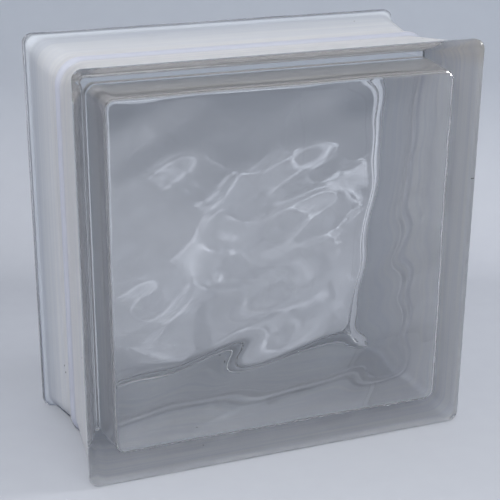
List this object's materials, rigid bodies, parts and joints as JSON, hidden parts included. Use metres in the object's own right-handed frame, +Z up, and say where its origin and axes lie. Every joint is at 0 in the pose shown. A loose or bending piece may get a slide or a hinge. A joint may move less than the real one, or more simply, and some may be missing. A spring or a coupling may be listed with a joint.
{
  "type": "hollow glass block",
  "caption": "Square hollow glass building block of two fused pressed shells, clear with a wavy relief inside, white-coated mortar edges between raised lips.",
  "frame": {"origin": "centre of the bottom edge, on the floor plane, midway between the two faces", "axes": "+Z up; +X along the width, to the right seen from the front; +Y through the depth, from the front face to the back face"},
  "size_m": [0.19, 0.095, 0.19],
  "materials": {
    "clear_glass": "smooth pressed glass, clear and nearly colourless",
    "edge_coating": "satin white paint on the four mortar edges, between the lips"
  },
  "bodies": {
    "root": {"front_shell": "clear_glass", "back_shell": "clear_glass"}
  },
  "joints": []
}
